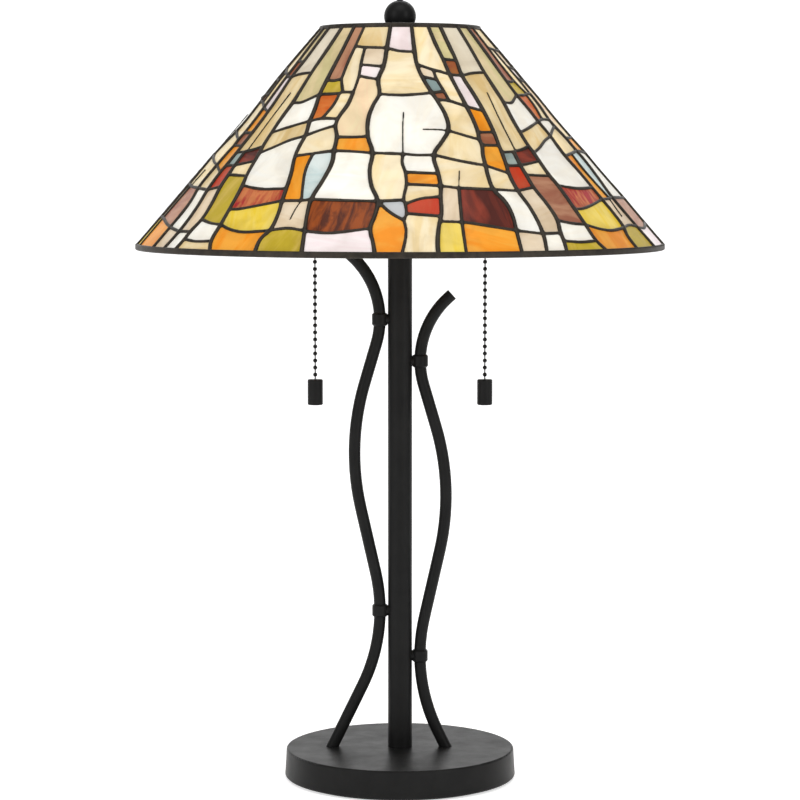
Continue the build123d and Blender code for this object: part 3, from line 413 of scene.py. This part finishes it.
def ramp(tree, source, stops):
    """A colour ramp on a socket, from (position, colour) stops."""
    made = tree.nodes.new("ShaderNodeValToRGB")
    first, last = made.color_ramp.elements
    first.position, first.color = stops[0][0], (*stops[0][1], 1)
    last.position, last.color = stops[-1][0], (*stops[-1][1], 1)
    for at, colour in stops[1:-1]:
        made.color_ramp.elements.new(at).color = (*colour, 1)
    tree.links.new(source, made.inputs[0])
    return made


def bump(tree, shader, height, strength, distance):
    """Fine relief on a shader from a height socket."""
    made = node(tree, "ShaderNodeBump", [("Height", height)], Strength=strength, Distance=distance)
    tree.links.new(made.outputs[0], shader.inputs["Normal"])


def grained(name, dark, light, rough, fine, broad, strength, distance, **plain):
    """A metal or moulded finish: uneven colour and gloss with a fine grain."""
    made, tree, shader = new_material(name, **plain)
    where = tree.nodes.new("ShaderNodeTexCoord")
    grain = use_group(tree, GRAIN, Fine=fine, Broad=broad)
    tree.links.new(where.outputs["Object"], grain.inputs["Vector"])
    colour = ramp(tree, grain.outputs["Mask"], [(0.3, dark), (0.7, light)])
    gloss = ramp(tree, grain.outputs["Mask"],
                 [(0.3, (rough - 0.05,) * 3), (0.7, (rough + 0.07,) * 3)])
    tree.links.new(colour.outputs[0], shader.inputs["Base Color"])
    tree.links.new(gloss.outputs[0], shader.inputs["Roughness"])
    bump(tree, shader, grain.outputs["Height"], strength, distance)
    return made


def pane_glass():
    """Opalescent sheet glass: the pane's own two colours, mixed in drawn-out streaks."""
    made, tree, shader = new_material("opalescent_glass", Roughness=0.4, Specular_IOR_Level=0.12,
                                      Coat_Weight=0.05, Coat_Roughness=0.1)
    flow = node(tree, "ShaderNodeUVMap", uv_map="flow")
    main = node(tree, "ShaderNodeAttribute", attribute_name="tint")
    streak = node(tree, "ShaderNodeAttribute", attribute_name="streak")
    wisps = use_group(tree, WISPS)
    tree.links.new(flow.outputs[0], wisps.inputs["Vector"])
    mask = ramp(tree, wisps.outputs["Streaks"], [(0.40, (0, 0, 0)), (0.60, (1, 1, 1))])
    amount = node(tree, "ShaderNodeMath", [(0, mask.outputs[0]), (1, streak.outputs["Alpha"])],
                  operation="MULTIPLY")
    mixed = node(tree, "ShaderNodeMix", data_type="RGBA")
    tree.links.new(amount.outputs[0], mixed.inputs[0])
    tree.links.new(main.outputs["Color"], mixed.inputs[MIX_A])
    tree.links.new(streak.outputs["Color"], mixed.inputs[MIX_B])
    shade = ramp(tree, wisps.outputs["Cloud"], [(0.32, (0.84, 0.82, 0.80)), (0.6, (1.0, 1.0, 1.0))])
    toned = node(tree, "ShaderNodeMix", data_type="RGBA", blend_type="MULTIPLY")
    toned.inputs[0].default_value = 1.0
    tree.links.new(mixed.outputs[MIX_RESULT], toned.inputs[MIX_A])
    tree.links.new(shade.outputs[0], toned.inputs[MIX_B])
    tree.links.new(toned.outputs[MIX_RESULT], shader.inputs["Base Color"])
    bump(tree, shader, wisps.outputs["Ripple"], 0.25, 0.0004)
    return made


powder = grained("black_powder_coat", (0.009, 0.009, 0.009), (0.013, 0.013, 0.0128), 0.38,
                 2600.0, 45.0, 0.10, 0.00012, Specular_IOR_Level=0.09)
solder = grained("dark_bronze_solder", (0.014, 0.011, 0.008), (0.040, 0.031, 0.021), 0.50,
                 900.0, 160.0, 0.35, 0.00025, Metallic=0.35, Specular_IOR_Level=0.35)
steel = grained("zinc_plate", (0.42, 0.42, 0.43), (0.55, 0.55, 0.55), 0.32,
                1800.0, 90.0, 0.08, 0.0001, Metallic=1.0)
brass = grained("turned_brass", (0.62, 0.44, 0.18), (0.72, 0.54, 0.26), 0.28,
                1800.0, 90.0, 0.06, 0.0001, Metallic=1.0)
moulding = grained("black_moulding", (0.020, 0.020, 0.020), (0.035, 0.034, 0.033), 0.5,
                   1400.0, 70.0, 0.10, 0.0001)
insulation = grained("pale_insulation", (0.70, 0.68, 0.62), (0.78, 0.76, 0.70), 0.5,
                     1400.0, 70.0, 0.05, 0.0001)
felt = grained("black_felt", (0.010, 0.010, 0.011), (0.030, 0.030, 0.032), 0.92,
               3200.0, 300.0, 0.8, 0.0004, Sheen_Weight=0.3)
frosted = grained("frosted_glass", (0.86, 0.86, 0.84), (0.90, 0.90, 0.88), 0.35,
                  1200.0, 40.0, 0.04, 0.0001, Coat_Weight=0.3)
opalescent = pane_glass()

FINISHES = {
    "black_metal": powder, "felt": felt, "steel": steel, "brass": brass, "bronze_came": solder,
    "moulding": moulding, "lead_insulation": insulation, "frosted_glass": frosted,
}
slot_of = {entry["node"]: entry["material_slot"] for entry in frame["record"]["subparts"]}
for name, body_node in frame["nodes"].items():
    finish = FINISHES.get(slot_of[name], opalescent)
    body_node.data.materials.clear()
    body_node.data.materials.append(finish)

# ---------------------------------------------------------------- camera, light and floor
camera_data = bpy.data.cameras.new("camera")
camera_data.lens = 122.5
camera_data.sensor_width = 36.0
camera = linked("camera", camera_data)
camera.location = (0.0, -2.1, 0.484)
aim = Vector((0.0, 0.0, 0.2955)) - camera.location
camera.rotation_mode = "QUATERNION"
camera.rotation_quaternion = aim.to_track_quat("-Z", "Y")
bpy.context.scene.camera = camera
bpy.context.scene.view_settings.view_transform = "Standard"


def backdrop():
    """A pale floor that curves up into a wall far behind the lamp."""
    bm = bmesh.new()
    near, far, bend, wall_top, half_width, steps = -6.0, 3.0, 1.5, 6.0, 7.0, 12
    profile = [(near, 0.0), (far, 0.0)]
    for k in range(1, steps + 1):
        a = pi / 2 * k / steps
        profile.append((far + bend * sin(a), bend - bend * cos(a)))
    profile.append((far + bend, wall_top))
    line = [bm.verts.new((-half_width, y, z)) for y, z in profile]
    edges = [bm.edges.new(pair) for pair in zip(line, line[1:])]
    swept = bmesh.ops.extrude_edge_only(bm, edges=edges)
    moved = [v for v in swept["geom"] if isinstance(v, bmesh.types.BMVert)]
    bmesh.ops.translate(bm, verts=moved, vec=(2 * half_width, 0, 0))
    bmesh.ops.recalc_face_normals(bm, faces=bm.faces)
    paper, _, shader = new_material("pale_paper", Roughness=0.9, Emission_Strength=0.6)
    shader.inputs["Base Color"].default_value = (0.86, 0.86, 0.86, 1)
    shader.inputs["Emission Color"].default_value = (1, 1, 1, 1)
    return mesh_piece("backdrop", bm, paper)


backdrop()


def softbox(name, at, towards, size, power):
    """A lamp with a large bright face, turned towards a spot."""
    data = bpy.data.lights.new(name, "AREA")
    data.shape = "RECTANGLE"
    data.size, data.size_y = size
    data.energy = power
    light = linked(name, data)
    light.location = at
    light.rotation_mode = "QUATERNION"
    light.rotation_quaternion = (Vector(towards) - Vector(at)).to_track_quat("-Z", "Y")


middle = (0.0, 0.0, 0.35)
softbox("left", (-1.9, -1.9, 1.3), middle, (0.7, 1.8), 22.0)
softbox("right", (1.9, -1.9, 1.2), middle, (0.7, 1.8), 20.0)
softbox("overhead", (0.0, -0.9, 2.4), middle, (1.8, 1.4), 20.0)
softbox("behind", (0.3, 2.0, 2.0), middle, (1.8, 1.2), 12.0)
world = bpy.data.worlds.new("studio")
world.use_nodes = True
world.node_tree.nodes["Background"].inputs["Color"].default_value = (1, 1, 1, 1)
world.node_tree.nodes["Background"].inputs["Strength"].default_value = 0.34
bpy.context.scene.world = world


# ---------------------------------------------------------------- glass panes
LONG_EDGE = 6.0 * MM


def pane_patch(name):
    """One pane of the first quarter: its outline filled, divided and laid on the cone."""
    bm = bmesh.new()
    corners = [place(key) for key in PANES[name].split()]
    ring = [bm.verts.new(on_cone(a, d, -GLASS_SUNK)) for a, d in corners]
    bm.faces.new(ring)
    bmesh.ops.triangulate(bm, faces=bm.faces[:], quad_method="BEAUTY", ngon_method="BEAUTY")
    long_edges = [e for e in bm.edges if e.calc_length() > LONG_EDGE]
    bmesh.ops.subdivide_edges(bm, edges=long_edges, cuts=3, use_grid_fill=True)
    bmesh.ops.triangulate(bm, faces=bm.faces[:])
    for vert in bm.verts:
        down = (shade_top_z - vert.co.z) / (shade_top_z - shade_rim_z) * 100
        share = down + GLASS_SUNK * sin(slope) / (shade_rim_z - shade_top_z) * 100
        around = atan2(vert.co.x, -vert.co.y) * 180 / pi
        vert.co = on_cone(around, share, -GLASS_SUNK)
    bm.normal_update()
    largest = max(bm.faces, key=lambda face: face.calc_area())
    outward = Vector((*largest.calc_center_median().xy, 0))
    if largest.normal.dot(outward) < 0:
        bmesh.ops.reverse_faces(bm, faces=bm.faces[:])
    middle_a = sum(a for a, d in corners) / len(corners)
    out = on_cone(middle_a, 50, 1.0) - on_cone(middle_a, 50)
    level = Vector((cos(radians(middle_a)), sin(radians(middle_a)), 0))
    return bm, level, out.cross(level)


def paint(bm, level, rise, tint, rng):
    """Gives a pane its colours and turns its flow map its own way."""
    flow = bm.loops.layers.uv.new("flow")
    tint_layer = bm.loops.layers.float_color.new("tint")
    streak_layer = bm.loops.layers.float_color.new("streak")
    main, streak, strength = TINTS[tint]
    value = rng.uniform(0.93, 1.04)
    turn = rng.choice((0, pi / 2)) + rng.uniform(-0.35, 0.35)
    fine = 1.0
    if tint in UPRIGHT_GRAIN:
        turn = pi / 2 + rng.uniform(-0.1, 0.1)
        fine = 2.2
    at = (rng.uniform(0, 9), rng.uniform(0, 9))
    for face in bm.faces:
        for loop in face.loops:
            u, v = fine * loop.vert.co.dot(level), fine * loop.vert.co.dot(rise)
            loop[flow].uv = (u * cos(turn) - v * sin(turn) + at[0],
                             u * sin(turn) + v * cos(turn) + at[1])
            loop[tint_layer] = (*(min(1.0, c * value) for c in main), 1.0)
            loop[streak_layer] = (*streak, strength)


def glass_panes():
    """All panes, one piece for each kind of glass, in place of the plain solids."""
    rng = random.Random(16)
    kinds = {name: kind for kind, names in GLASS.items() for name in names.split()}
    groups = {kind: bmesh.new() for kind in GLASS}
    for name in PANES:
        for quarter in QUARTERS:
            bm, level, rise = pane_patch(name)
            kind = SWAPS.get(quarter, {}).get(name, kinds[name])
            usual = OWN_TINT.get(name, KIND_TINT[kind])
            paint(bm, level, rise, SWAP_TINT.get((quarter, name), usual), rng)
            bmesh.ops.transform(bm, matrix=quarter_turn(quarter), verts=bm.verts[:])
            one = bpy.data.meshes.new("one_pane")
            bm.to_mesh(one)
            bm.free()
            groups[kind].from_mesh(one)
            bpy.data.meshes.remove(one)
    for kind, bm in groups.items():
        piece = mesh_piece(f"panes_{kind}", bm, opalescent)
        wall = piece.modifiers.new("thickness", "SOLIDIFY")
        wall.thickness = GLASS_THICK
        wall.offset = -1.0
        piece = frozen(piece)
        piece.data.set_sharp_from_angle(angle=radians(50))
        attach(piece, "shade")
        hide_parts(f"glass_{kind}")


glass_panes()


# ---------------------------------------------------------------- solder lines
MAIN_BEAD = 1.75 * MM
CROSS_BEAD = 1.35 * MM
FINE_BEAD = 0.75 * MM
BEAD_SUNK = 0.45 * MM
FINE_SUNK = 0.2 * MM
BEAD_MESH = 0.75 * MM
WIDE_STEP = 4  # degrees round the shade


def followed(points):
    """The same smooth line with places added on its wide steps, so a bead keeps to the cone."""
    spots = [Vector((*point, 0.0)) for point in (points[0], *points, points[-1])]
    line = [spots[0]]
    for before, here, there, after in zip(spots, spots[1:], spots[2:], spots[3:]):
        steps = 1 + int(abs(there.x - here.x) / WIDE_STEP)
        line += interpolate_bezier(here, here + (there - before) / 6,
                                   there - (after - here) / 6, there, steps + 1)[1:]
    return [(spot.x, spot.y) for spot in line]


def solder_quarter(quarter):
    """The beads of solder on both faces of one quarter, run together at the joints."""
    rng = random.Random(40 + quarter)
    curve = bpy.data.curves.new(f"solder_lines_{quarter}", "CURVE")
    curve.dimensions = "3D"
    curve.bevel_depth = 1.0
    curve.bevel_resolution = 2
    curve.resolution_u = 4
    both_faces = (-BEAD_SUNK, -GLASS_SUNK - GLASS_THICK)
    lines = [([place(key) for key in keys], MAIN_BEAD, both_faces) for keys in MAIN_SEAMS]
    lines += [([place(key) for key in keys.split()], CROSS_BEAD, both_faces) for keys in CROSS_SEAMS]
    lines += [(line, FINE_BEAD, (-FINE_SUNK,)) for line in FINE_LINES]
    for corners, radius, lifts in lines:
        points = followed(corners)
        for lift in lifts:
            spline = curve.splines.new("BEZIER")
            spline.bezier_points.add(len(points) - 1)
            for point, (around, down) in zip(spline.bezier_points, points):
                point.co = quarter_turn(quarter) @ on_cone(around, down, lift)
                point.handle_left_type = point.handle_right_type = "AUTO"
                point.radius = radius * rng.uniform(0.92, 1.12)
    curve.use_fill_caps = True
    beads = frozen(linked(f"solder_lines_{quarter}", curve))
    remesh = beads.modifiers.new("run together", "REMESH")
    remesh.mode = "VOXEL"
    remesh.voxel_size = BEAD_MESH
    settle = beads.modifiers.new("settle", "SMOOTH")
    settle.factor = 0.5
    settle.iterations = 3
    beads = frozen(beads)
    for face in beads.data.polygons:
        face.use_smooth = True
    beads.data.materials.clear()
    beads.data.materials.append(solder)
    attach(beads, "shade")


for quarter in QUARTERS:
    solder_quarter(quarter)
